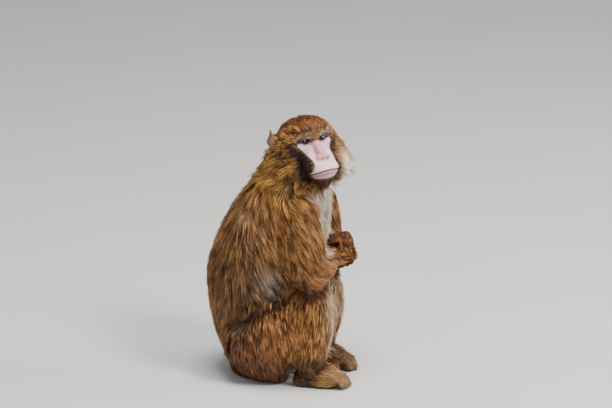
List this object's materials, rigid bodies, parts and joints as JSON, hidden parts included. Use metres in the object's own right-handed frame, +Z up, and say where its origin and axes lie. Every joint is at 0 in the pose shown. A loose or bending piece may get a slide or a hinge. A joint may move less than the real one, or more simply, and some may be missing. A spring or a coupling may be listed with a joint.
{
  "type": "sitting barbary macaque figure",
  "caption": "Life-size still figure of an adult Barbary macaque, sitting with its knees drawn up and arms folded and looking over its right shoulder.",
  "frame": {"origin": "on the floor, under the middle of the whole figure's box", "axes": "+Z up; the chest and feet face -Y; +X is the animal's own left; the face is turned about 50 degrees from -Y towards -X"},
  "size_m": [0.2706, 0.3144, 0.5318],
  "materials": {
    "coat": "thick brown coat of long hair, matt",
    "bare_skin": "bare wrinkled skin with short hair, satin",
    "eye": "wet, clear and glossy over a brown iris"
  },
  "bodies": {
    "root": {"ear_left": "bare_skin", "ear_right": "bare_skin", "eye_left": "eye", "eye_right": "eye", "foot_left": "bare_skin", "foot_right": "bare_skin", "forearm_left": "coat", "forearm_right": "coat", "hand_left": "bare_skin", "hand_right": "bare_skin", "head": "coat", "neck": "coat", "shank_left": "coat", "shank_right": "coat", "tail": "coat", "thigh_left": "coat", "thigh_right": "coat", "trunk": "coat", "upper_arm_left": "coat", "upper_arm_right": "coat"}
  },
  "joints": []
}
